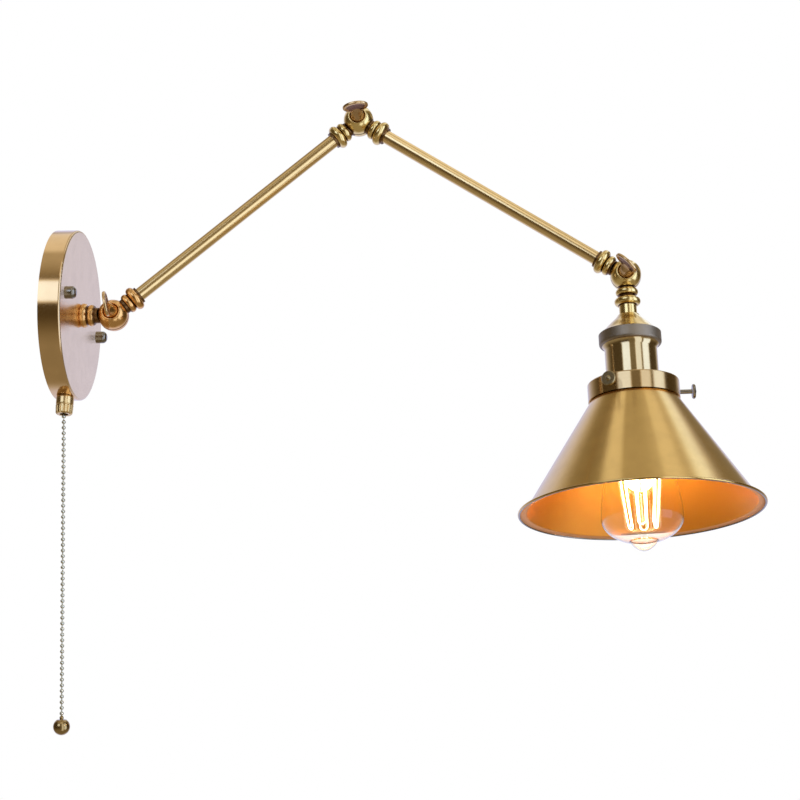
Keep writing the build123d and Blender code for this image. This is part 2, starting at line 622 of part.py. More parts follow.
with BuildPart() as screw_shell:
    ring(LAMP, INSERT_SEAT + SEAT, CUP_END - SHELL_WALL, SHELL_RADIUS - SHELL_WALL, SHELL_RADIUS)
save(screw_shell, "screw_shell")

with BuildPart() as contact:
    ring(LAMP, INSERT_SEAT + SEAT, INSERT_SEAT + SEAT + CONTACT_HEIGHT, 0, CONTACT_RADIUS)
    tip = contact.faces().sort_by(Axis(LAMP.origin, LAMP.x_dir))[-1]
    fillet(tip.edges(), radius=CONTACT_ROUND)
save(contact, "centre_contact")

with BuildPart() as retainer:
    ring(LAMP, GALLERY_TOP + GALLERY_WALL + SEAT, GALLERY_TOP + GALLERY_WALL + SEAT + RETAINER_HEIGHT,
         CUP_RADIUS + FIT, RETAINER_RADIUS)
save(retainer, "retaining_ring")

# ================================================================ gallery and thumb screws


def thumb_plane(index):
    """Plane along one thumb screw, from the head's axis outwards."""
    angle = radians(THUMB_FIRST + index * 360 / THUMB_COUNT)
    outward = HEAD_SIDE * cos(angle) + FRONT * sin(angle)
    return axial_plane(HINGE_3 + HEAD * THUMB_PLACE, outward, HEAD)


with BuildPart() as gallery:
    turned(LAMP, (GALLERY_TOP, CUP_RADIUS + FIT), (GALLERY_TOP, GALLERY_RADIUS),
           (GALLERY_END, GALLERY_RADIUS), (GALLERY_END, GALLERY_RADIUS - GALLERY_WALL),
           (GALLERY_TOP + GALLERY_WALL, GALLERY_RADIUS - GALLERY_WALL),
           (GALLERY_TOP + GALLERY_WALL, CUP_RADIUS + FIT))
    rim_edges = gallery.edges().filter_by(GeomType.CIRCLE).sort_by(Axis(LAMP.origin, LAMP.x_dir))
    top_edge = rim_edges.filter_by(lambda edge: abs(edge.radius - GALLERY_RADIUS) < FIT)[0]
    fillet(top_edge, radius=GALLERY_ROUND)
    for index in range(THUMB_COUNT):
        ring(thumb_plane(index), GALLERY_RADIUS / 2, GALLERY_RADIUS + CUT_PAST, 0, THUMB_RADIUS + FIT,
             mode=Mode.SUBTRACT)
save(gallery, "gallery_ring")

for index in range(THUMB_COUNT):
    radial = thumb_plane(index)
    head_start = GALLERY_RADIUS + THUMB_OUTSIDE
    head_end = head_start + THUMB_HEAD_SHEET
    with BuildPart() as thumb_screw:
        ring(radial, SHADE_NECK_RADIUS + SEAT, head_start, 0, THUMB_RADIUS)
        chamfered = THUMB_HEAD_RADIUS - THUMB_HEAD_CHAMFER
        turned(radial, (head_start, 0), (head_start, chamfered),
               (head_start + THUMB_HEAD_CHAMFER, THUMB_HEAD_RADIUS),
               (head_end - THUMB_HEAD_CHAMFER, THUMB_HEAD_RADIUS), (head_end, chamfered), (head_end, 0))
        with BuildSketch(radial) as outline:
            with BuildLine():
                Line((head_end, 0), (head_end, THUMB_DOME_RADIUS))
                dome(head_end, THUMB_DOME_RADIUS, THUMB_DOME_HEIGHT)
                Line((head_end + THUMB_DOME_HEIGHT, 0), (head_end, 0))
            make_face()
        spin(outline, radial)
    save(thumb_screw, f"thumb_screw_{index + 1}")

# ================================================================ shade
SHOULDER = GALLERY_END + APART
SHADE_NECK_INSIDE = SHADE_NECK_RADIUS - SHADE_SHEET
CONE_ROOT_RADIUS = GALLERY_RADIUS - CONE_SETBACK
FLARE_PLACE = SHADE_MOUTH - SHADE_SHEET / 2 - FLARE_FALL
FLARE_ROOT_RADIUS = SHADE_MOUTH_RADIUS - FLARE_WIDTH

with BuildPart() as shade:
    cone_slope = (FLARE_ROOT_RADIUS - CONE_ROOT_RADIUS) / (FLARE_PLACE - SHOULDER)
    flare_slope = FLARE_FALL / FLARE_WIDTH
    across_cone = SHADE_SHEET * (1 + cone_slope ** 2) ** 0.5
    along_flare = SHADE_SHEET * (1 + flare_slope ** 2) ** 0.5
    inside_place = (along_flare - flare_slope * across_cone) / (1 - flare_slope * cone_slope)
    inside_radius = cone_slope * inside_place - across_cone
    turned(LAMP, (SHADE_TOP, SHADE_NECK_INSIDE), (SHADE_TOP, SHADE_LIP_RADIUS),
           (SHADE_TOP + SHADE_SHEET, SHADE_LIP_RADIUS), (SHADE_TOP + SHADE_SHEET, SHADE_NECK_RADIUS),
           (SHOULDER, SHADE_NECK_RADIUS), (SHOULDER, CONE_ROOT_RADIUS),
           (FLARE_PLACE, FLARE_ROOT_RADIUS), (FLARE_PLACE + FLARE_FALL, SHADE_MOUTH_RADIUS),
           (FLARE_PLACE + FLARE_FALL + along_flare, SHADE_MOUTH_RADIUS),
           (FLARE_PLACE + inside_place, FLARE_ROOT_RADIUS + inside_radius),
           (SHOULDER + SHADE_SHEET, CONE_ROOT_RADIUS - across_cone + SHADE_SHEET * cone_slope),
           (SHOULDER + SHADE_SHEET, SHADE_NECK_INSIDE))
    hoop(HINGE_3 + HEAD * SHADE_MOUTH, HEAD, SHADE_MOUTH_RADIUS - SHADE_SHEET / 2, RIM_BEAD_RADIUS)
save(shade, "shade")

# ================================================================ bulb
BULB_TIP = INSERT_SEAT + SEAT + CONTACT_HEIGHT + APART
BULB_CAP_START = BULB_TIP + BULB_INSULATOR_HEIGHT
BULB_CAP_END = BULB_CAP_START + BULB_CAP_LENGTH
BULB_END = BULB_TIP + BULB_LENGTH
BULB_WIDEST = BULB_END - BULB_DOME_DEPTH - BULB_NIPPLE_HEIGHT


def bulb_outline(plane, shrink, mode):
    """Body of the bulb, or the space inside its glass where shrink is the wall."""
    start = BULB_CAP_END + SEAT + shrink
    neck_end = start + BULB_NECK_LENGTH
    widest_radius = BULB_RADIUS - shrink
    dome_end = BULB_WIDEST + BULB_DOME_DEPTH - shrink
    with BuildSketch(plane) as outline:
        with BuildLine():
            Polyline((start, 0), (start, BULB_NECK_RADIUS - shrink), (neck_end, BULB_NECK_RADIUS - shrink))
            Spline((neck_end, BULB_NECK_RADIUS - shrink), (BULB_WIDEST, widest_radius),
                   tangents=(BULB_FLARE, (1, 0)))
            Spline((BULB_WIDEST, widest_radius),
                   (BULB_WIDEST + BULB_DOME_DEPTH * BULB_DOME_POINT[0], widest_radius * BULB_DOME_POINT[1]),
                   (dome_end, BULB_NIPPLE_RADIUS), tangents=((1, 0), BULB_DOME_SLOPE))
            Spline((dome_end, BULB_NIPPLE_RADIUS), (BULB_END - shrink, 0),
                   tangents=(BULB_NIPPLE_SLOPE, (0, -1)))
            Line((BULB_END - shrink, 0), (start, 0))
        make_face()
    spin(outline, plane, mode)


with BuildPart() as bulb_glass:
    bulb_outline(LAMP, 0, Mode.ADD)
    bulb_outline(LAMP, GLASS_WALL, Mode.SUBTRACT)
save(bulb_glass, "bulb_glass")

with BuildPart() as bulb_cap:
    ring(LAMP, BULB_CAP_START, BULB_CAP_END, BULB_CAP_RADIUS - BULB_CAP_WALL, BULB_CAP_RADIUS)
    ring(LAMP, BULB_CAP_START, BULB_CAP_START + BULB_CAP_WALL, 0, BULB_CAP_RADIUS)
save(bulb_cap, "bulb_screw_cap")

with BuildPart() as bulb_insulator:
    turned(LAMP, (BULB_TIP, 0), (BULB_TIP, BULB_CONTACT_RADIUS),
           (BULB_CAP_START - SEAT, BULB_CAP_RADIUS - BULB_INSULATOR_DRAW), (BULB_CAP_START - SEAT, 0))
save(bulb_insulator, "bulb_contact")

MOUNT_START = BULB_CAP_END + 2 * SEAT + GLASS_WALL
MOUNT_END = MOUNT_START + MOUNT_LENGTH
CAGE_TOP = MOUNT_END + CAGE_DROP
CAGE_BOTTOM = CAGE_TOP + CAGE_LENGTH

with BuildPart() as filament_mount:
    ring(LAMP, MOUNT_START, MOUNT_END, 0, MOUNT_RADIUS)
    ring(LAMP, MOUNT_END, CAGE_BOTTOM, 0, SPIDER_RADIUS)
save(filament_mount, "filament_mount")

with BuildPart() as filament:
    for index in range(CAGE_STRANDS):
        angle = radians((index + 0.5) * 360 / CAGE_STRANDS)
        outward = HEAD_SIDE * cos(angle) + FRONT * sin(angle)
        top = HINGE_3 + HEAD * CAGE_TOP + outward * CAGE_RADIUS
        bottom = HINGE_3 + HEAD * CAGE_BOTTOM + outward * CAGE_FOOT_RADIUS
        with BuildSketch(Plane(origin=top, z_dir=bottom - top)) as strand:
            Circle(radius=STRAND_RADIUS)
        extrude(strand.sketch, amount=(bottom - top).length)
    for place, radius in ((CAGE_TOP, CAGE_RADIUS), (CAGE_BOTTOM, CAGE_FOOT_RADIUS)):
        ring(LAMP, place - SPIDER_SHEET / 2, place + SPIDER_SHEET / 2,
             SPIDER_RADIUS + APART, radius + SPIDER_EDGE)
save(filament, "filament")

# ================================================================ pull switch and chain
SIDE_INSIDE = CANOPY_RADIUS - CANOPY_SHEET
SWITCH_END = (SIDE_INSIDE ** 2 - SWITCH_RADIUS ** 2) ** 0.5 - SEAT
BUSHING_END = CANOPY_RADIUS + BUSHING_LENGTH
HOOK_TOP = CANOPY_RADIUS - HOOK_INSIDE
NUT_END = CANOPY_RADIUS + SWITCH_NUT_HEIGHT
CHAIN_TOP = NUT_END + CHAIN_START
HOOK_BORE = HOOK_RADIUS + APART

with BuildPart() as switch_body:
    turned(SWITCH, (SWITCH_END - SWITCH_LENGTH, 0), (SWITCH_END - SWITCH_LENGTH, SWITCH_RADIUS),
           (SWITCH_END, SWITCH_RADIUS), (SWITCH_END, BUSHING_RADIUS), (BUSHING_END, BUSHING_RADIUS),
           (BUSHING_END, HOOK_BORE), (HOOK_TOP - APART, HOOK_BORE), (HOOK_TOP - APART, 0))
save(switch_body, "pull_switch")

with BuildPart() as switch_nut:
    turned(SWITCH, (CANOPY_RADIUS + SEAT, BUSHING_RADIUS + FIT), (CANOPY_RADIUS + SEAT, SWITCH_NUT_RADIUS),
           (NUT_END, SWITCH_NUT_END_RADIUS), (NUT_END, SWITCH_NUT_BORE_RADIUS),
           (BUSHING_END + SEAT, SWITCH_NUT_BORE_RADIUS), (BUSHING_END + SEAT, BUSHING_RADIUS + FIT))
    with BuildSketch(cross_plane(SWITCH_TOP - UP * NUT_END, UP, OUT)) as flutes:
        with PolarLocations(SWITCH_NUT_END_RADIUS + FLUTE_RADIUS / 2, FLUTE_COUNT):
            Circle(radius=FLUTE_RADIUS)
    extrude(flutes.sketch, amount=FLUTE_LENGTH, mode=Mode.SUBTRACT)
save(switch_nut, "switch_nut")

with BuildPart() as pull_hook:
    ring(SWITCH, HOOK_TOP, CHAIN_TOP, 0, HOOK_RADIUS)
    with BuildSketch(SWITCH) as top_bead:
        with BuildLine():
            ThreePointArc((CHAIN_TOP - BEAD_RADIUS, 0), (CHAIN_TOP, BEAD_RADIUS),
                          (CHAIN_TOP + BEAD_RADIUS, 0))
            Line((CHAIN_TOP + BEAD_RADIUS, 0), (CHAIN_TOP - BEAD_RADIUS, 0))
        make_face()
    spin(top_bead, SWITCH)
save(pull_hook, "pull_hook")


def chain_span(plane, beads, extra):
    """Beads on a wire below the plane's origin, which is the centre of the bead above them."""
    half_bead = (BEAD_RADIUS ** 2 - LINK_RADIUS ** 2) ** 0.5
    start = BEAD_RADIUS + APART
    last = beads * BEAD_PITCH
    with BuildSketch(plane) as outline:
        with BuildLine():
            Line((start, 0), (start, LINK_RADIUS))
            here = start
            for index in range(beads):
                centre = (index + 1) * BEAD_PITCH
                Line((here, LINK_RADIUS), (centre - half_bead, LINK_RADIUS))
                here = centre + half_bead
                if index + 1 == beads and extra == 0:
                    ThreePointArc((centre - half_bead, LINK_RADIUS), (centre, BEAD_RADIUS),
                                  (centre + BEAD_RADIUS, 0))
                    here = centre + BEAD_RADIUS
                else:
                    ThreePointArc((centre - half_bead, LINK_RADIUS), (centre, BEAD_RADIUS),
                                  (centre + half_bead, LINK_RADIUS))
            if extra:
                Polyline((here, LINK_RADIUS), (last + extra, LINK_RADIUS), (last + extra, 0))
                here = last + extra
            Line((here, 0), (start, 0))
        make_face()
    spin(outline, plane)


CHAIN_PIVOT_1 = SWITCH_TOP - UP * CHAIN_TOP
CHAIN_PIVOT_2 = CHAIN_PIVOT_1 + DOWN * (UPPER_BEADS * BEAD_PITCH)
PULL_PLACE = LOWER_BEADS * BEAD_PITCH + PULL_BALL_DROP
LOWER_CHAIN = axial_plane(CHAIN_PIVOT_2, DOWN, OUT)

with BuildPart() as chain_upper:
    chain_span(axial_plane(CHAIN_PIVOT_1, DOWN, OUT), UPPER_BEADS, 0)
save(chain_upper, "chain_upper")

with BuildPart() as chain_lower:
    chain_span(LOWER_CHAIN, LOWER_BEADS, PULL_BALL_DROP - PULL_BALL_RADIUS - PULL_COLLAR_HEIGHT)
save(chain_lower, "chain_lower")

with BuildPart() as pull_ball:
    with BuildSketch(LOWER_CHAIN) as outline:
        with BuildLine():
            collar_top = PULL_PLACE - PULL_BALL_RADIUS - PULL_COLLAR_HEIGHT
            collar_foot = PULL_PLACE - (PULL_BALL_RADIUS ** 2 - PULL_COLLAR_RADIUS ** 2) ** 0.5
            Polyline((collar_top, 0), (collar_top, PULL_COLLAR_RADIUS), (collar_foot, PULL_COLLAR_RADIUS))
            ThreePointArc((collar_foot, PULL_COLLAR_RADIUS), (PULL_PLACE, PULL_BALL_RADIUS),
                          (PULL_PLACE + PULL_BALL_RADIUS, 0))
            Line((PULL_PLACE + PULL_BALL_RADIUS, 0), (collar_top, 0))
        make_face()
    spin(outline, LOWER_CHAIN)
save(pull_ball, "pull_ball")

for name, point in (("hinge 1", HINGE_1), ("hinge 2", HINGE_2), ("hinge 3", HINGE_3),
                    ("chain pivot 1", CHAIN_PIVOT_1), ("chain pivot 2", CHAIN_PIVOT_2)):
    print(name, round(point.X, 3), round(point.Y, 3), round(point.Z, 3))
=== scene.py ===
import bpy
import numpy as np
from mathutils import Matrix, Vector


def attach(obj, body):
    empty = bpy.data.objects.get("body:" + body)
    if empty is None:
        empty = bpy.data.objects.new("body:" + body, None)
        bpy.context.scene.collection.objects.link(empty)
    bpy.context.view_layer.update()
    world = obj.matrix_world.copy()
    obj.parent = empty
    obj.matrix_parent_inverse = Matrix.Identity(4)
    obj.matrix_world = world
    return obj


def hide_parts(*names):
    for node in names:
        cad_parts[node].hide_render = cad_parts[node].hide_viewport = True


# Wall light with a folding brass arm, a conical shade and a beaded pull chain.
# Metres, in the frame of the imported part: origin on the wall, +X out of it, +Z up.

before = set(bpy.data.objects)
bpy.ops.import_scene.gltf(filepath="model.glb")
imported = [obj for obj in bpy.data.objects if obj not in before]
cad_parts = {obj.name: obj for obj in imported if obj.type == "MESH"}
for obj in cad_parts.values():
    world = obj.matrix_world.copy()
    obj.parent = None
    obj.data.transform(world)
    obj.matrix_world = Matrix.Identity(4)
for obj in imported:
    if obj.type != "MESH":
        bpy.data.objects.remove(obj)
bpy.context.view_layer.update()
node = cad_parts

# ---------------------------------------------------------------- places, in millimetres and degrees
MM = 0.001
TILT = np.radians(-15.0)      # the whole light is turned this far about the way out of the wall
OUT = np.array([1.0, 0.0, 0.0])
UP = np.array([0.0, -np.sin(TILT), np.cos(TILT)])
FRONT = np.array([0.0, -np.cos(TILT), -np.sin(TILT)])
DOWN = np.array([0.0, 0.0, -1.0])
HINGE_OUT = 40.0              # first hinge, from the wall
ARM_LENGTH = 234.0            # from hinge to hinge
ARM_1_ANGLE = 41.0
ARM_2_ANGLE = -32.5
HEAD_ANGLE = -87.0
WING_TURNS = (-78.0, 10.0, -43.0)
SWITCH_OUT = 8.6              # pull switch and chain, from the wall
CHAIN_MIDDLE = np.array([SWITCH_OUT, -20.058, -183.669])      # pivot of the chain's lower span


def heading(degrees):
    """Direction in the plane of the arms, in degrees above the way out of the wall."""
    return OUT * np.cos(np.radians(degrees)) + UP * np.sin(np.radians(degrees))


HINGE_1 = OUT * HINGE_OUT
HINGE_2 = HINGE_1 + heading(ARM_1_ANGLE) * ARM_LENGTH
HINGE_3 = HINGE_2 + heading(ARM_2_ANGLE) * ARM_LENGTH
HEAD = heading(HEAD_ANGLE)
HEAD_SIDE = heading(HEAD_ANGLE + 90.0)
WINGS = tuple(zip((HINGE_1, HINGE_2, HINGE_3), WING_TURNS))


# ---------------------------------------------------------------- surfaces
def make_mesh(name, points, faces, body, material):
    """Smooth mesh from points in millimetres and faces, in one or several materials, riding on a body."""
    mesh = bpy.data.meshes.new(name)
    mesh.from_pydata((points * MM).tolist(), [], [list(map(int, face)) for face in faces])
    mesh.polygons.foreach_set("use_smooth", [True] * len(mesh.polygons))
    mesh.update()
    piece = bpy.data.objects.new(name, mesh)
    bpy.context.scene.collection.objects.link(piece)
    for each in material if isinstance(material, (list, tuple)) else [material]:
        mesh.materials.append(each)
    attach(piece, body)
    return piece


def soften(corners, size, steps=5):
    """Each inner corner of a profile becomes a short curve: the quadratic that starts and ends size away
    from it, or less where the next corner is close."""
    most = 0.45
    corners = np.asarray(corners, float)
    before = np.roll(corners, 1, 0) - corners
    after = np.roll(corners, -1, 0) - corners
    before_length = np.linalg.norm(before, axis=1, keepdims=True)
    after_length = np.linalg.norm(after, axis=1, keepdims=True)
    start = corners + before / before_length * np.minimum(size, before_length * most)
    end = corners + after / after_length * np.minimum(size, after_length * most)
    t = np.linspace(0, 1, steps)[None, :, None]
    curve = ((1 - t) ** 2 * start[:, None] + 2 * t * (1 - t) * corners[:, None]
             + t ** 2 * end[:, None])
    return np.vstack([corners[:1], curve[1:-1].reshape(-1, 2), corners[-1:]])


def arc(start, end, rise, steps):
    """Circular arc between two profile points, whose middle stands rise to the left of the chord."""
    start, end = np.asarray(start, float), np.asarray(end, float)
    half = (end - start) / 2
    reach = np.linalg.norm(half)
    along = half / reach
    aside = np.array([-along[1], along[0]])
    radius = (reach ** 2 + rise ** 2) / (2 * abs(rise))
    sweep = np.arcsin(min(1.0, reach / radius))
    sweep = np.pi - sweep if abs(rise) > reach else sweep
    turn = np.linspace(-sweep, sweep, steps)[:, None]
    side = np.sign(rise)
    return (start + half + along * radius * np.sin(turn)
            + aside * side * (radius * np.cos(turn) - radius + abs(rise)))


def hermite(start, end, leave, arrive, steps):
    """Cubic between two profile points with a slope given at each."""
    start, end = np.asarray(start, float), np.asarray(end, float)
    leave, arrive = np.asarray(leave, float), np.asarray(arrive, float)
    t = np.linspace(0, 1, steps)[:, None]
    return ((2 * t ** 3 - 3 * t ** 2 + 1) * start + (t ** 3 - 2 * t ** 2 + t) * leave
            + (-2 * t ** 3 + 3 * t ** 2) * end + (t ** 3 - t ** 2) * arrive)


def sleeve(rings, sides):
    """Faces of a row of rings with the same number of points, closed at both ends."""
    here = np.arange(rings * sides).reshape(rings, sides)
    beside = np.roll(here, -1, 1)
    faces = np.stack([here[:-1], beside[:-1], beside[1:], here[1:]], -1).reshape(-1, 4).tolist()
    return faces + [here[0, ::-1].tolist(), here[-1].tolist()]


def lathe(name, origin, axis, side, profile, body, material, turns, loop=False, bands=None, carve=None):
    """Turned surface: point = origin + axis * place + (side * cos a + other * sin a) * radius.

    The profile runs forwards along the axis on the outside. A radius of 0 at an end makes a pole,
    and a loop closes the profile on itself. Bands give the material of each profile row, and carve
    how much is cut off the radius, from places, radii and angles."""
    pole = 1e-6
    profile = np.asarray(profile, float)
    other = np.cross(axis, side)
    first = 1 if not loop and profile[0, 1] < pole else 0
    last = len(profile) - (1 if not loop and profile[-1, 1] < pole else 0)
    rows = profile[first:last]
    turn = np.linspace(0, 2 * np.pi, turns, endpoint=False)
    rim = np.cos(turn)[:, None] * side + np.sin(turn)[:, None] * other
    radii = np.repeat(rows[:, 1:], turns, 1)
    if carve:
        radii = radii - carve(rows[:, :1], rows[:, 1:], turn[None])
    grid = origin + rows[:, None, :1] * axis + radii[:, :, None] * rim[None]
    here = np.arange(len(rows) * turns).reshape(len(rows), turns)
    beside = np.roll(here, -1, 1)
    above = np.roll(here, -1, 0) if loop else here[1:]
    above_beside = np.roll(above, -1, 1)
    count = len(above)
    faces = np.stack([here[:count], beside[:count], above_beside, above], -1).reshape(-1, 4).tolist()
    kinds = np.repeat(np.arange(count), turns)
    points = grid.reshape(-1, 3)
    if first:
        faces += np.stack([beside[0], here[0], np.full(turns, len(points))], -1).tolist()
        kinds = np.concatenate([kinds, np.zeros(turns, int)])
        points = np.vstack([points, origin + axis * profile[0, 0]])
    if last < len(profile):
        faces += np.stack([here[-1], beside[-1], np.full(turns, len(points))], -1).tolist()
        kinds = np.concatenate([kinds, np.full(turns, count - 1)])
        points = np.vstack([points, origin + axis * profile[-1, 0]])
    piece = make_mesh(name, points, faces, body, material)
    if bands is not None:
        chosen = np.asarray(bands)[np.minimum(kinds + first, len(bands) - 1)]
        piece.data.polygons.foreach_set("material_index", chosen.astype(np.int32))
    return piece


def wire(name, path, radius, body, material, sides=10):
    """Round wire along an open path: rings square to the path, all started from one way across it."""
    path = np.asarray(path, float)
    skew = [0.31, 0.52, 0.79]      # no wire here runs this way
    along = np.gradient(path, axis=0)
    along /= np.linalg.norm(along, axis=1, keepdims=True)
    start = np.cross(along[0], skew)
    across = start - (along @ start)[:, None] * along
    across /= np.linalg.norm(across, axis=1, keepdims=True)
    other = np.cross(along, across)
    turn = np.linspace(0, 2 * np.pi, sides, endpoint=False)
    grid = path[:, None] + radius * (np.cos(turn)[None, :, None] * across[:, None]
                                     + np.sin(turn)[None, :, None] * other[:, None])
    return make_mesh(name, grid.reshape(-1, 3), sleeve(*grid.shape[:2]), body, material)


# ---------------------------------------------------------------- node tree helpers
class Tree:
    """Short way to add and link nodes."""
    ROW, WIDE, HIGH = 12, 190, 260      # nodes in a row of the editor, and the room that each has

    def __init__(self, tree):
        self.tree = tree
        self.place = 0

    def add(self, kind, **settings):
        made = self.tree.nodes.new(kind)
        self.place += 1
        made.location = (self.place % self.ROW * self.WIDE, -(self.place // self.ROW) * self.HIGH)
        for key, value in settings.items():
            setattr(made, key, value)
        return made

    def link(self, source, target):
        self.tree.links.new(source, target)

    def math(self, operation, first, second=0.0):
        made = self.add("ShaderNodeMath", operation=operation)
        for target, value in zip(made.inputs, (first, second)):
            self.feed(target, value)
        return made.outputs[0]

    def feed(self, target, value):
        """A value or a link, whichever it is, into a socket."""
        if isinstance(value, bpy.types.NodeSocket):
            self.link(value, target)
        else:
            target.default_value = value

    def blend(self, share, first, second):
        made = self.add("ShaderNodeMix", data_type="RGBA", blend_type="MIX")
        self.feed(made.inputs[0], share)
        self.feed(made.inputs[6], first)
        self.feed(made.inputs[7], second)
        return made.outputs[2]

    def vector(self, operation, *values):
        """Result of a vector node: a value for DOT_PRODUCT and LENGTH, otherwise a vector."""
        made = self.add("ShaderNodeVectorMath", operation=operation)
        for target, value in zip(made.inputs, values):
            self.feed(target, value)
        return made.outputs["Value" if operation in ("DOT_PRODUCT", "LENGTH") else "Vector"]

    def noise(self, place, scale, detail):
        made = self.add("ShaderNodeTexNoise")
        self.link(place, made.inputs["Vector"])
        self.feed(made.inputs["Scale"], scale)
        self.feed(made.inputs["Detail"], detail)
        return made.outputs[0]

    def group(self, group, **values):
        """Node group with a value or a link for each named input."""
        made = self.add("ShaderNodeGroup", node_tree=group)
        for name, value in values.items():
            self.feed(made.inputs[name], value)
        return made

    def ramp(self, value, start, end, low=0.0, high=1.0):
        """Smooth step of a value between start and end, from low to high."""
        made = self.add("ShaderNodeMapRange", interpolation_type="SMOOTHSTEP")
        for name, given in (("Value", value), ("From Min", start), ("From Max", end), ("To Min", low),
                            ("To Max", high)):
            self.feed(made.inputs[name], given)
        return made.outputs[0]


# ---------------------------------------------------------------- studio
# Soft studio, in degrees and levels. Azimuth and elevation are 0 towards the camera, right and up positive.
# Cards: two azimuths, two elevations and a level.
CARDS = (
    ((-8.0, 17.0, -14.0, 44.0), 0.21),
    ((-46.0, -9.0, 13.0, 42.0), 1.30),
    ((18.0, 47.0, -48.0, 45.0), 1.10),
    ((54.0, 88.0, -30.0, 44.0), 1.28),
    ((-14.0, 46.0, 48.0, 71.0), 0.95),
    ((-90.0, -40.0, 50.0, 64.0), 0.55),
)
CARD_SOFT = 3.0
# Bright strips behind and above, from one side over the top to the other: two angles, the softness
# of the two edges, and a level.
STRIPS = (
    (-23.0, -12.6, 1.5, 1.5, 0.87),
    (5.0, 60.0, 4.5, 3.0, 0.62),
    (9.8, 20.0, 1.6, 1.8, 0.88),
    (25.9, 60.0, 1.4, 3.0, 1.14),
    (35.4, 60.0, 2.4, 3.0, 0.25),
)
# What the cards and the strips stand before, as slopes that are added up: two angles and two levels.
ROOM = ((-45.0, 0.0, 0.31, 0.08), (28.0, 76.0, 0.0, 0.42))
BEHIND = ((-56.0, -36.0, 0.74, 0.27), (-15.0, -10.0, 0.0, 0.23))
# The strips are seen where the way back plus a share of the way up passes from the first to the second.
BACK_RISE = 0.9
BACK = (0.80, 0.97)
# Cool fields at the back: side, two azimuths on it, two elevations and their softness.
COOL = ((-1.0, 98.0, 158.0, -60.0, 34.0, 12.0), (1.0, 126.0, 170.0, -60.0, 12.0, 5.0))
COOL_LEVEL = 0.72
# Green and blue of a level: its power, its gain where the level is brightest, and more where it is cool.
GREEN = (1.12, 1.2, 0.10)
BLUE = (1.4, 1.6, 0.75)
BRIGHTEST = (0.9, 1.25)
PLAIN_LIGHT = (0.80, 0.80, 0.80, 1.0)
WHITE = (1.0, 1.0, 1.0, 1.0)


def studio_world():
    """The camera sees white, metal sees the cards, strips and room, and the rest is lit evenly."""
    world = bpy.data.worlds.new("studio")
    bpy.context.scene.world = world
    world.use_nodes = True
    world.node_tree.nodes.clear()
    t = Tree(world.node_tree)
    split = t.add("ShaderNodeSeparateXYZ")
    t.link(t.add("ShaderNodeTexCoord").outputs["Generated"], split.inputs[0])
    x, y, z = split.outputs
    degrees = 180.0 / np.pi
    azimuth = t.math("MULTIPLY", t.math("ARCTAN2", x, t.math("MULTIPLY", y, -1.0)), degrees)
    elevation = t.math("MULTIPLY", t.math("ARCSINE", z), degrees)
    across = t.math("MULTIPLY", t.math("ARCTAN2", x, z), degrees)

    def between(value, low, high, soft, soft_high):
        return t.math("SUBTRACT", t.ramp(value, low - soft, low + soft),
                      t.ramp(value, high - soft_high, high + soft_high))

    def over(mask, below, above):
        """Level with a card laid over it."""
        return t.math("ADD", below, t.math("MULTIPLY", mask, t.math("SUBTRACT", above, below)))

    def added(parts):
        result = parts[0]
        for part in parts[1:]:
            result = t.math("ADD", result, part)
        return result

    level = added([t.ramp(elevation, *slope) for slope in ROOM])
    for (az_low, az_high, el_low, el_high), value in CARDS:
        mask = t.math("MULTIPLY", between(azimuth, az_low, az_high, CARD_SOFT, CARD_SOFT),
                      between(elevation, el_low, el_high, CARD_SOFT, CARD_SOFT))
        level = over(mask, level, value)
    behind = added([t.ramp(across, *slope) for slope in BEHIND])
    for *edges, value in STRIPS:
        behind = over(between(across, *edges), behind, value)
    level = over(t.ramp(t.math("ADD", y, t.math("MULTIPLY", z, BACK_RISE)), *BACK), level, behind)
    cool = added([t.math("MULTIPLY", t.ramp(t.math("MULTIPLY", azimuth, side), az_low, az_high),
                         between(elevation, el_low, el_high, soft, soft))
                  for side, az_low, az_high, el_low, el_high, soft in COOL])
    level = over(cool, level, COOL_LEVEL)
    colour = t.add("ShaderNodeCombineColor")
    t.feed(colour.inputs[0], level)
    for number, (power, gain, cooler) in enumerate((GREEN, BLUE), 1):
        warm = t.math("MULTIPLY", t.math("POWER", level, power), t.ramp(level, *BRIGHTEST, 1.0, gain))
        more = t.math("ADD", t.math("MULTIPLY", cool, cooler), 1.0)
        t.feed(colour.inputs[number], t.math("MULTIPLY", warm, more))
    path = t.add("ShaderNodeLightPath")
    plain = t.blend(path.outputs["Is Glossy Ray"], PLAIN_LIGHT, colour.outputs[0])
    seen = t.math("MAXIMUM", path.outputs["Is Camera Ray"], path.outputs["Is Transmission Ray"])
    background = t.add("ShaderNodeBackground")
    t.link(t.blend(seen, plain, WHITE), background.inputs["Color"])
    output = t.add("ShaderNodeOutputWorld")
    t.link(background.outputs[0], output.inputs[0])


def lamp(name, kind, place, energy, colour, size, target=None):
    """One lamp that no metal mirrors, aimed where it has a target."""
    data = bpy.data.lights.new(name, kind)
    data.energy = energy
    data.color = colour
    setattr(data, "size" if kind == "AREA" else "shadow_soft_size", size)
    made = bpy.data.objects.new(name, data)
    bpy.context.scene.collection.objects.link(made)
    made.location = Vector(place)
    if target is not None:
        made.rotation_euler = (Vector(target) - Vector(place)).to_track_quat("-Z", "Y").to_euler()
    made.visible_glossy = False


SENSOR = 36.0
PICTURE = 800.0           # pixels across
FOCAL = 1960.6            # in the same pixels
CAMERA_PLACE = (0.3712, -1.4122, -0.1229)
CAMERA_AHEAD = (-0.0847, 0.9955, 0.0423)


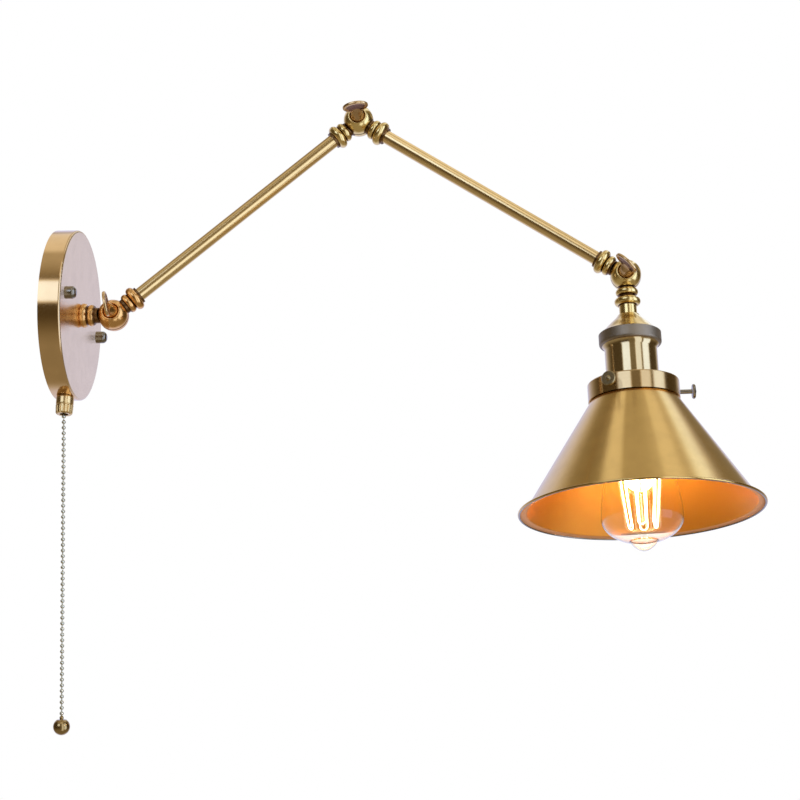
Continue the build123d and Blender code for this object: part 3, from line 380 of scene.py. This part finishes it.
def camera():
    """Camera at the photograph's angle, level from side to side."""
    data = bpy.data.cameras.new("camera")
    data.sensor_width = SENSOR
    data.sensor_fit = "HORIZONTAL"
    data.lens = FOCAL * SENSOR / PICTURE
    data.clip_start = 0.01
    data.clip_end = 50.0
    made = bpy.data.objects.new("camera", data)
    bpy.context.scene.collection.objects.link(made)
    made.location = Vector(CAMERA_PLACE)
    made.rotation_euler = Vector(CAMERA_AHEAD).normalized().to_track_quat("-Z", "Y").to_euler()
    bpy.context.scene.camera = made


bpy.context.scene.view_settings.view_transform = "Standard"
studio_world()
camera()


# ---------------------------------------------------------------- materials
# Noises of the metal finish: scale to the metre, and detail.
CLOUDS = (90.0, 3.0)
FINE = (500.0, 2.0)
UNEVEN = (420.0, 1.0)
POLISHING = (2600.0, 2.0)
NOISE_RANGE = (0.3, 0.7)      # where most of a noise lies
EDGE_WANDER = 0.04            # how far the uneven edge of the patina moves up and down the mask
PATINA_FROM_TO = (0.35, 0.95)
PATINA_ROUGHER = 0.12
CLOUD_SHARE = (0.35, 0.68, 0.0, 0.07)      # patina in the clouds: two levels of noise, two shares
ROUGHER = (0.96, 1.05)        # roughness against its middle, over the fine noise
MARK_DEPTH = 0.02             # millimetres
GROOVE_EDGE = 0.4             # half the width of a groove's soft ends, in millimetres
UNMIRRORED = 0.85             # share of dark metal that other metal doesn't mirror
BRUSHED = 0.9                 # anisotropy


def node_group(name, inputs, outputs):
    """New node group with its sockets: its tree, its input sockets and its output sockets."""
    group = bpy.data.node_groups.new(name, "ShaderNodeTree")
    for way, sockets in (("INPUT", inputs), ("OUTPUT", outputs)):
        for title, kind in sockets:
            group.interface.new_socket(title, in_out=way, socket_type="NodeSocket" + kind)
    t = Tree(group)
    return group, t, t.add("NodeGroupInput").outputs, t.add("NodeGroupOutput").inputs


def from_axis_group():
    """How far a place lies along an axis through an origin, and how far out from it, in metres."""
    group, t, given, made = node_group(
        "from_axis", (("Place", "Vector"), ("Origin", "Vector"), ("Axis", "Vector")),
        (("Along", "Float"), ("Out", "Float")))
    apart = t.vector("SUBTRACT", given["Place"], given["Origin"])
    along = t.vector("DOT_PRODUCT", apart, given["Axis"])
    foot = t.add("ShaderNodeVectorMath", operation="SCALE")
    t.link(given["Axis"], foot.inputs[0])
    t.link(along, foot.inputs["Scale"])
    t.link(along, made["Along"])
    t.link(t.vector("LENGTH", t.vector("SUBTRACT", apart, foot.outputs[0])), made["Out"])
    return group


def worn_metal_group():
    """Finish that all the metal shares: clouds of tone, dark patina where Hollow is high with an
    uneven edge, and faint polishing marks in Roughness and Normal."""
    group, t, given, made = node_group(
        "worn_metal", (("Place", "Vector"), ("Tone", "Color"), ("Patina", "Color"), ("Hollow", "Float"),
                       ("Roughness", "Float"), ("Marks", "Float")),
        (("Color", "Color"), ("Roughness", "Float"), ("Normal", "Vector")))
    place = given["Place"]
    wander = t.ramp(t.noise(place, *UNEVEN), *NOISE_RANGE, -EDGE_WANDER, EDGE_WANDER)
    edge = t.math("ADD", given["Hollow"], wander)
    dark = t.ramp(edge, *PATINA_FROM_TO)
    clouded = t.blend(t.ramp(t.noise(place, *CLOUDS), *CLOUD_SHARE), given["Tone"], given["Patina"])
    t.link(t.blend(dark, clouded, given["Patina"]), made["Color"])
    rough = t.math("MULTIPLY", given["Roughness"], t.ramp(t.noise(place, *FINE), *NOISE_RANGE, *ROUGHER))
    t.link(t.math("ADD", rough, t.math("MULTIPLY", dark, PATINA_ROUGHER)), made["Roughness"])
    bump = t.add("ShaderNodeBump")
    bump.inputs["Distance"].default_value = MARK_DEPTH * MM
    t.link(given["Marks"], bump.inputs["Strength"])
    t.link(t.noise(place, *POLISHING), bump.inputs["Height"])
    t.link(bump.outputs[0], made["Normal"])
    return group


def turned_groove_group():
    """Mask of a turned groove, in metres: 1 where a place between Start and End along the axis lies
    nearer to it than Deep, and 0 farther out than Shallow."""
    group, t, given, made = node_group(
        "turned_groove", (("Place", "Vector"), ("Origin", "Vector"), ("Axis", "Vector"),
                          ("Start", "Float"), ("End", "Float"), ("Shallow", "Float"), ("Deep", "Float")),
        (("Mask", "Float"),))
    along, out = t.group(FROM_AXIS, Place=given["Place"], Origin=given["Origin"],
                         Axis=given["Axis"]).outputs
    soft = GROOVE_EDGE * MM
    started, ended = (t.ramp(along, t.math("SUBTRACT", given[edge], soft), t.math("ADD", given[edge], soft))
                      for edge in ("Start", "End"))
    near = t.ramp(out, given["Deep"], given["Shallow"], 1.0, 0.0)
    t.link(t.math("MULTIPLY", t.math("SUBTRACT", started, ended), near), made["Mask"])
    return group


def cloudy_group():
    """Faint clouds between two tones, Scale to the metre."""
    group, t, given, made = node_group(
        "cloudy", (("Place", "Vector"), ("Tone", "Color"), ("Other", "Color"), ("Scale", "Float")),
        (("Color", "Color"),))
    share = t.ramp(t.noise(given["Place"], given["Scale"], 3.0), *NOISE_RANGE)
    t.link(t.blend(share, given["Tone"], given["Other"]), made["Color"])
    return group


FROM_AXIS = from_axis_group()
WORN_METAL = worn_metal_group()
TURNED_GROOVE = turned_groove_group()
CLOUDY = cloudy_group()


def groove(origin, axis, start, end, shallow, deep):
    """Hollow mask of turned grooves: 1 where a place between start and end along the axis lies nearer
    to it than deep, and 0 farther out than shallow. All in millimetres."""
    def mask(t, place):
        return t.group(TURNED_GROOVE, Place=place, Origin=origin * MM, Axis=axis, Start=start * MM,
                       End=end * MM, Shallow=shallow * MM, Deep=deep * MM).outputs[0]
    return mask


def material(name):
    """New material with its tree, its Principled shader, and a way to finish it with a surface."""
    made = bpy.data.materials.new(name)
    made.use_nodes = True
    made.node_tree.nodes.clear()
    t = Tree(made.node_tree)

    def finished(surface):
        t.link(surface, t.add("ShaderNodeOutputMaterial").inputs[0])
        return made

    return t, t.add("ShaderNodeBsdfPrincipled"), finished


def open_to(t, surface, share):
    """Surface that rays pass through by a share."""
    mix = t.add("ShaderNodeMixShader")
    t.link(share, mix.inputs[0])
    t.link(surface, mix.inputs[1])
    t.link(t.add("ShaderNodeBsdfTransparent").outputs[0], mix.inputs[2])
    return mix.outputs[0]


def metal(name, tone, roughness, patina=(0.20, 0.105, 0.04), hollow=None, marks=0.02, satin=None,
          brushed=None, unmirrored=0.0):
    """Metal with the shared finish: patina where its hollow mask is high, rougher by a number and of
    another tone where its satin mask is, blurred along an axis where it is brushed round that axis,
    and left out of other metal's reflections by a share."""
    t, shader, finished = material(name)
    shader.inputs["Metallic"].default_value = 1.0
    place = t.add("ShaderNodeTexCoord").outputs["Object"]
    tone = (*tone, 1.0)
    if satin:
        mask, more, other_tone = satin
        share = mask(t, place)
        roughness = t.math("ADD", t.math("MULTIPLY", share, more), roughness)
        tone = t.blend(share, tone, (*other_tone, 1.0))
    worn = t.group(WORN_METAL, Place=place, Tone=tone, Patina=(*patina, 1.0), Roughness=roughness,
                   Marks=marks, Hollow=hollow(t, place) if hollow else 0.0)
    t.link(worn.outputs["Color"], shader.inputs["Base Color"])
    t.link(worn.outputs["Roughness"], shader.inputs["Roughness"])
    t.link(worn.outputs["Normal"], shader.inputs["Normal"])
    if brushed is not None:
        shader.inputs["Anisotropic"].default_value = BRUSHED
        turn = t.add("ShaderNodeVectorTransform", vector_type="VECTOR", convert_from="OBJECT",
                     convert_to="WORLD")
        turn.inputs[0].default_value = brushed
        t.link(turn.outputs[0], shader.inputs["Tangent"])
    surface = shader.outputs[0]
    if unmirrored:
        glossy = t.add("ShaderNodeLightPath").outputs["Is Glossy Ray"]
        surface = open_to(t, surface, t.math("MULTIPLY", glossy, unmirrored))
    return finished(surface)


def cloudy(name, tone, other, roughness, scale=60.0):
    """Ceramic, plastic or paint with faint clouds between two tones."""
    t, shader, finished = material(name)
    place = t.add("ShaderNodeTexCoord").outputs["Object"]
    clouded = t.group(CLOUDY, Place=place, Tone=(*tone, 1.0), Other=(*other, 1.0), Scale=scale)
    t.link(clouded.outputs[0], shader.inputs["Base Color"])
    shader.inputs["Roughness"].default_value = roughness
    return finished(shader.outputs[0])


def clear_glass(name, tint=(1.0, 0.985, 0.96)):
    """Clear glass that lets the light of the lamp inside it through."""
    t, shader, finished = material(name)
    for title, value in (("Base Color", (*tint, 1.0)), ("Roughness", 0.0), ("IOR", 1.45),
                         ("Transmission Weight", 1.0)):
        shader.inputs[title].default_value = value
    shadow = t.add("ShaderNodeLightPath").outputs["Is Shadow Ray"]
    return finished(open_to(t, shader.outputs[0], shadow))


def glowing(name, colour, strength):
    """Wire that is white hot."""
    t, shader, finished = material(name)
    for title, value in (("Base Color", (*colour, 1.0)), ("Roughness", 0.5),
                         ("Emission Color", (*colour, 1.0)), ("Emission Strength", strength)):
        shader.inputs[title].default_value = value
    return finished(shader.outputs[0])


BRASS = (0.92, 0.68, 0.28)
# Painted reflection: a coppery tone for the first knuckle's pieces, which stands in for the canopy's warm
# light mirrored in them. Their brass is the same as the others'.
PAINTED_REFLECTION_COPPER = (0.86, 0.48, 0.17)
BLACKENED = (0.08, 0.065, 0.05)
OLIVE = (0.12, 0.10, 0.05)
# Zones of masks along their axes: start, end, and the radii where the mask is 0 and 1, in millimetres.
CANOPY_FACE = (15.4, 30.0, 62.4, 61.8)
STEM_BEADS = (16.0, 33.0, 8.3, 6.8)
END_BEADS = (9.0, 26.0, 7.8, 6.3)
HEAD_BEADS = (9.0, 24.0, 7.8, 6.4)
WING_DISH = (-0.85, 0.85, 7.3, 6.5)
WING_MIDDLE = 24.75           # middle of a wing, from its hinge
GROOVES = {
    "stem": groove(OUT * 0, OUT, *STEM_BEADS),
    "arm_1_inner_end": groove(HINGE_1, heading(ARM_1_ANGLE), *END_BEADS),
    "arm_1_outer_end": groove(HINGE_2, heading(ARM_1_ANGLE + 180.0), *END_BEADS),
    "arm_2_inner_end": groove(HINGE_2, heading(ARM_2_ANGLE), *END_BEADS),
    "arm_2_outer_end": groove(HINGE_3, heading(ARM_2_ANGLE + 180.0), *END_BEADS),
    "head_knuckle": groove(HINGE_3, HEAD, *HEAD_BEADS),
}
finish = {
    "canopy": metal("canopy_brass", (0.82, 0.55, 0.27), 0.12,
                    satin=(groove(OUT * 0, OUT, *CANOPY_FACE), 0.13, (0.92, 0.71, 0.45))),
    "shade": metal("satin_brass", (0.82, 0.54, 0.19), 0.18, marks=0.01, brushed=HEAD),
    # Painted glow: the shade's inside is brass whose orange tone stands in for the warm light of the bulb
    # on it.
    "inner": metal("painted_glow_lining", (0.92, 0.39, 0.065), 0.45, patina=(0.84, 0.31, 0.045)),
    "cup": metal("cup_brass", (0.72, 0.545, 0.29), 0.15, marks=0.01, brushed=HEAD),
    "cap": metal("cap_brass", (0.92, 0.70, 0.33), 0.22),
    "gallery": metal("gallery_brass", (0.66, 0.45, 0.21), 0.17, marks=0.01, brushed=HEAD),
    "ring": metal("ring_bronze", (0.36, 0.29, 0.21), 0.48, patina=(0.14, 0.11, 0.08)),
    "dark": metal("dark_bronze", (0.30, 0.26, 0.20), 0.22, BLACKENED, unmirrored=UNMIRRORED),
    "thumb": metal("screw_bronze", (0.30, 0.255, 0.19), 0.26, BLACKENED, unmirrored=UNMIRRORED),
    # Painted light: a lighter, warmer copy of the screw bronze, for the one thumb screw that catches more
    # light and reflection.
    "thumb_painted_light": metal("screw_bronze_painted_light", (0.42, 0.32, 0.16), 0.24, OLIVE, unmirrored=UNMIRRORED),
    "steel": metal("zinc_steel", (0.62, 0.62, 0.60), 0.30, (0.30, 0.29, 0.27), unmirrored=UNMIRRORED),
    "tube": metal("tube_brass", (0.95, 0.68, 0.32), 0.19, marks=0.005),
    "root": metal("wing_root_brass", (0.62, 0.40, 0.20), 0.24),
    # Painted reflection: the first wing's root gets a coppery copy of the root brass.
    "reflection_tinted_root": metal("wing_root_painted_reflection", (0.84, 0.50, 0.19), 0.22),
    "ball": metal("pull_ball_bronze", (0.46, 0.31, 0.13), 0.20, OLIVE),
    "chain": metal("chain_brass", (0.80, 0.77, 0.62), 0.30),
    "nut": metal("switch_brass", (0.86, 0.60, 0.27), 0.26),
    "porcelain": cloudy("glazed_porcelain", (0.86, 0.84, 0.79), (0.80, 0.78, 0.72), 0.2),
    "plastic": cloudy("switch_plastic", (0.035, 0.034, 0.032), (0.05, 0.048, 0.045), 0.45),
    "nylon": cloudy("washer_nylon", (0.80, 0.78, 0.70), (0.74, 0.71, 0.63), 0.5),
    "green": cloudy("ground_green", (0.03, 0.22, 0.08), (0.02, 0.17, 0.06), 0.4),
    "vitrite": cloudy("black_glass", (0.015, 0.015, 0.017), (0.03, 0.03, 0.035), 0.15),
    "nickel": metal("nickelled_cap", (0.66, 0.62, 0.55), 0.24, patina=(0.34, 0.29, 0.22)),
    "glass": clear_glass("bulb_glass_clear"),
    "hot": glowing("hot_filament", (1.0, 0.86, 0.56), 6.0),
}
for name, mask in GROOVES.items():
    # The stem and the first arm end take the coppery tone of painted reflection.
    tone = PAINTED_REFLECTION_COPPER if name in ("stem", "arm_1_inner_end") else BRASS
    finish[name] = metal(name + "_brass", tone, 0.20, hollow=mask, marks=0.01)
for number, (hinge, turned) in enumerate(WINGS, 1):
    dish = groove(hinge + FRONT * WING_MIDDLE, np.cross(FRONT, heading(turned)), *WING_DISH)
    finish[f"wing_screw_{number}"] = metal(f"wing_{number}_brass", (0.80, 0.54, 0.26), 0.24,
                                           patina=(0.26, 0.14, 0.09), hollow=dish)
# Nodes that share a finish. The others have one of their own name, or the tubes'.
FINISH_OF = {
    "cup": ("socket_cup", "retaining_ring"),
    "gallery": ("gallery_ring",),
    "cap": ("socket_cap",),
    "ring": ("cap_ring",),
    "dark": ("cap_nuts",),
    "thumb": ("thumb_screw_1", "thumb_screw_3"),
    # One of the like thumb screws takes the painted light copy.
    "thumb_painted_light": ("thumb_screw_2",),
    "chain": ("chain_upper", "chain_lower", "pull_hook"),
    "nut": ("switch_nut",),
    "ball": ("pull_ball",),
    "steel": ("crossbar", "crossbar_studs", "stud_nuts", "threaded_nipple", "nipple_washer", "nipple_nut"),
    "glass": ("filament_mount",),
    "porcelain": ("socket_insert",),
    "plastic": ("pull_switch",),
    "nylon": ("friction_washer_1", "friction_washer_2", "friction_washer_3"),
    "green": ("ground_screw",),
    "vitrite": ("bulb_contact",),
    "nickel": ("bulb_screw_cap",),
}
for title, names in FINISH_OF.items():
    for name in names:
        assert name in node, name
        finish[name] = finish[title]
for name, made in node.items():
    made.data.materials.clear()
    made.data.materials.append(finish.get(name, finish["tube"]))


# ---------------------------------------------------------------- shade
def shade():
    """Spun cone with a neck, a shoulder under the gallery and a wired rim. Its profile is in places
    along the head from the third hinge, and radii."""
    outside = soften([(84.6, 28.5), (84.6, 30.6), (85.5, 30.6), (85.5, 29.4), (95.3, 29.4), (95.3, 31.2),
                      (172.75, 80.9), (174.0, 85.2)], 0.35)
    bead_middle, bead_radius, bead_inside = (174.6, 85.35), 1.0, 84.6
    turn = np.linspace(np.radians(140), np.radians(-150), 25)[:, None]
    bead = np.array([bead_middle]) + bead_radius * np.hstack([np.cos(turn), np.sin(turn)])
    bead = bead[bead[:, 1] > bead_inside]
    inside = soften([(174.9, 84.7), (173.8, 80.3), (96.2, 30.4), (96.2, 28.5), (84.6, 28.5)], 0.3)[:-1]
    profile = np.vstack([outside, bead, inside])
    # Painted shade: the bead's rows past this share face in and down, and take the dark bronze as the shade
    # under the rim.
    bright = 0.45             # share of the bead that is bright, before it is dark
    dark = (np.arange(len(bead)) > len(bead) * bright).astype(int)
    # The inside rows take the orange of painted glow.
    bands = np.concatenate([np.zeros(len(outside)), dark, np.full(len(inside), 2)])
    made = lathe("shade_spun", HINGE_3, HEAD, HEAD_SIDE, profile, "head",
                 [finish["shade"], finish["dark"], finish["inner"]], turns=192, loop=True, bands=bands)
    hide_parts("shade")


def bulb():
    """Pear-shaped glass with a pip, a thin shell with its own inside face."""
    start, widest, end = 89.05, 180.0, 204.0
    neck_radius, radius, pip_radius = 14.6, 29.0, 9.6
    dome, sheet = 17.0, 0.7

    def outline(shrink):
        neck = neck_radius - shrink
        wide = (widest, radius - shrink)
        foot = (widest + dome - shrink, pip_radius)
        shoulder = arc((start + shrink, 12.0), (start + 3.0, neck), 0.8, 6)
        flare = hermite((start + 6.0, neck), wide, (60.0, 7.0), (50.0, 0.0), 40)
        rounded = hermite(wide, foot, (28.0, 0.0), (4.0, -24.0), 30)
        pip = hermite(foot, (end - shrink, 0.0), (7.0, -2.0), (0.0, -13.0), 16)
        return np.vstack([[[start + shrink, 0.0]], shoulder, flare, rounded[1:], pip[1:]])

    outside = lathe("bulb_outside", HINGE_3, HEAD, HEAD_SIDE, outline(0.0), "bulb", finish["glass"],
                    turns=128)
    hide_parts("bulb_glass")
    inside = lathe("bulb_inside", HINGE_3, HEAD, HEAD_SIDE, outline(sheet), "bulb", finish["glass"],
                   turns=128)
    inside.data.flip_normals()


def filament():
    """Hairpins of wire in a ring, narrower towards the lower end, where they are rounded."""
    count, first = 6, 0.6
    top, bottom = 126.0, 187.0
    out_top, out_bottom = 14.6, 10.2      # from the head's axis to a hairpin's middle
    half_top, hook = 3.9, 2.6             # half the width of a hairpin at its top, and its hook's radius
    for number in range(count):
        middle = np.radians((number + first) * 360.0 / count)
        out = HEAD_SIDE * np.cos(middle) + FRONT * np.sin(middle)
        across = np.cross(HEAD, out)
        t = np.linspace(0, 1, 24)[:, None]
        down = (HINGE_3 + HEAD * (top + (bottom - hook - top) * t)
                + out * (out_top - (out_top - out_bottom) * t ** 2.0))
        apart = across * (half_top + (hook - half_top) * t ** 0.8)
        turn = np.linspace(0, np.pi, 12)[1:-1, None]
        low = (HINGE_3 + HEAD * (bottom - hook + hook * np.sin(turn)) + out * out_bottom
               + across * hook * np.cos(turn))
        path = np.vstack([down + apart, low, (down - apart)[::-1]])
        made = wire(f"filament_strand_{number + 1}", path, 0.42, "bulb", finish["hot"])
    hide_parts("filament")


def wing_roots():
    """Round boss of each wing screw and the tongue that runs from it into the wing."""
    sections = np.array([  # along the hinge, half of its width, half of its thickness
        (8.2, 5.3, 5.3), (9.2, 5.4, 5.4), (10.2, 5.3, 5.3), (11.2, 4.9, 4.8), (13.0, 4.5, 4.1),
        (15.0, 4.4, 3.5), (16.6, 4.5, 2.5), (18.0, 4.7, 1.6), (19.4, 4.3, 1.1), (20.8, 3.2, 0.75),
        (22.4, 1.6, 0.35)])
    rings, sides = 60, 48
    fine = np.linspace(0, len(sections) - 1, rings)
    reach, wide, thick = (np.interp(fine, np.arange(len(sections)), column) for column in sections.T)
    kernel = np.ones(5) / 5
    wide[2:-2] = np.convolve(wide, kernel, "valid")
    thick[2:-2] = np.convolve(thick, kernel, "valid")
    turn = np.linspace(0, 2 * np.pi, sides, endpoint=False)
    for number, (hinge, turned) in enumerate(WINGS, 1):
        across = heading(turned)
        other = np.cross(FRONT, across)
        grid = (hinge + reach[:, None, None] * FRONT
                + (wide[:, None] * np.cos(turn))[:, :, None] * across
                + (thick[:, None] * np.sin(turn))[:, :, None] * other)
        # The first wing's root takes the painted reflection tone, and the others take the plain root brass.
        made = make_mesh(f"wing_root_{number}", grid.reshape(-1, 3), sleeve(rings, sides),
                         f"wing_{number}", finish["reflection_tinted_root" if number == 1 else "root"])


def switch_nut():
    """Nut of the pull switch: a plain upper half, a fine groove, and slots down to a rounded end."""
    start, end = 62.55, 75.9
    outside, bore, seat = 6.1, 3.15, 3.4
    corners = soften([(start, seat), (start, outside), (start + 0.5, outside), (start + 0.9, 6.45),
                      (start + 5.8, 6.4), (start + 6.1, outside), (start + 6.5, outside),
                      (start + 6.8, 6.38), (end - 0.9, outside), (end, 5.2), (end, bore),
                      (end - 2.6, bore), (end - 2.6, seat)], 0.25)
    ring = np.vstack([corners, corners[:1]])
    run = np.concatenate([[0.0], np.cumsum(np.linalg.norm(np.diff(ring, axis=0), axis=1))])
    where = np.union1d(run[:-1], np.arange(0.0, run[-1], 0.35))
    profile = np.stack([np.interp(where, run, ring[:, 0]), np.interp(where, run, ring[:, 1])], 1)
    slot_count, slot_steps, slot_depth = 14, 14, 0.95
    slots_from, slots_outside = start + 7.0, 4.6

    def slots(place, radius, angle):
        deep = np.clip((np.cos(angle * slot_count) - 0.55) / 0.3, 0, 1)
        low = np.clip((place - slots_from) / 0.5, 0, 1)
        return slot_depth * deep * low * np.clip((radius - slots_outside) / 0.6, 0, 1)

    made = lathe("switch_nut_slotted", OUT * SWITCH_OUT, -UP, OUT, profile, "wall", finish["nut"],
                 turns=slot_count * slot_steps, loop=True, carve=slots)
    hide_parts("switch_nut")


def pull_ball():
    """Ball on the end of the chain, flattened on top, with the last half bead let into it."""
    centre, radius, flat = 114.25, 6.05, 5.0
    turn = np.linspace(np.arccos(flat / radius), np.pi, 40)
    sphere = np.stack([centre - radius * np.cos(turn), radius * np.sin(turn)], 1)
    sphere[-1, 1] = 0.0
    top = centre - flat
    lead = np.array([(106.3, 0.0), (106.3, 0.5), (106.9, 1.2), (107.8, 1.55), (108.7, 1.35), (top, 1.1),
                     (top - 0.05, 1.9), (top, sphere[0, 1] - 0.5)])
    made = lathe("pull_ball_turned", CHAIN_MIDDLE, DOWN, OUT, np.vstack([lead, sphere]), "chain_end",
                 finish["ball"], turns=72)
    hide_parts("pull_ball")


def floor():
    """Plain pale floor, well below the light, with a faint unevenness."""
    pale = cloudy("pale_floor", (0.86, 0.86, 0.85), (0.82, 0.82, 0.81), 0.9, scale=3.0)
    back, far, side, drop = -1600.0, 2400.0, 2000.0, -900.0
    corners = np.array([[back, -side, drop], [far, -side, drop], [far, side, drop], [back, side, drop]])
    mesh = bpy.data.meshes.new("floor")
    mesh.from_pydata((corners * MM).tolist(), [], [[0, 1, 2, 3]])
    mesh.materials.append(pale)
    made = bpy.data.objects.new("floor", mesh)
    bpy.context.scene.collection.objects.link(made)
    made.visible_glossy = False


LAMP_MIDDLE = 150.0           # lamp inside the bulb, from the third hinge
shade()
bulb()
filament()
wing_roots()
switch_nut()
pull_ball()
lamp("bulb_light", "POINT", (HINGE_3 + HEAD * LAMP_MIDDLE) * MM, 1.6, (1.0, 0.64, 0.27), size=0.012)
lamp("key", "AREA", (-0.6, -1.6, 1.4), 20.0, (1.0, 0.98, 0.95), size=1.2, target=(0.2, 0.0, 0.0))
floor()
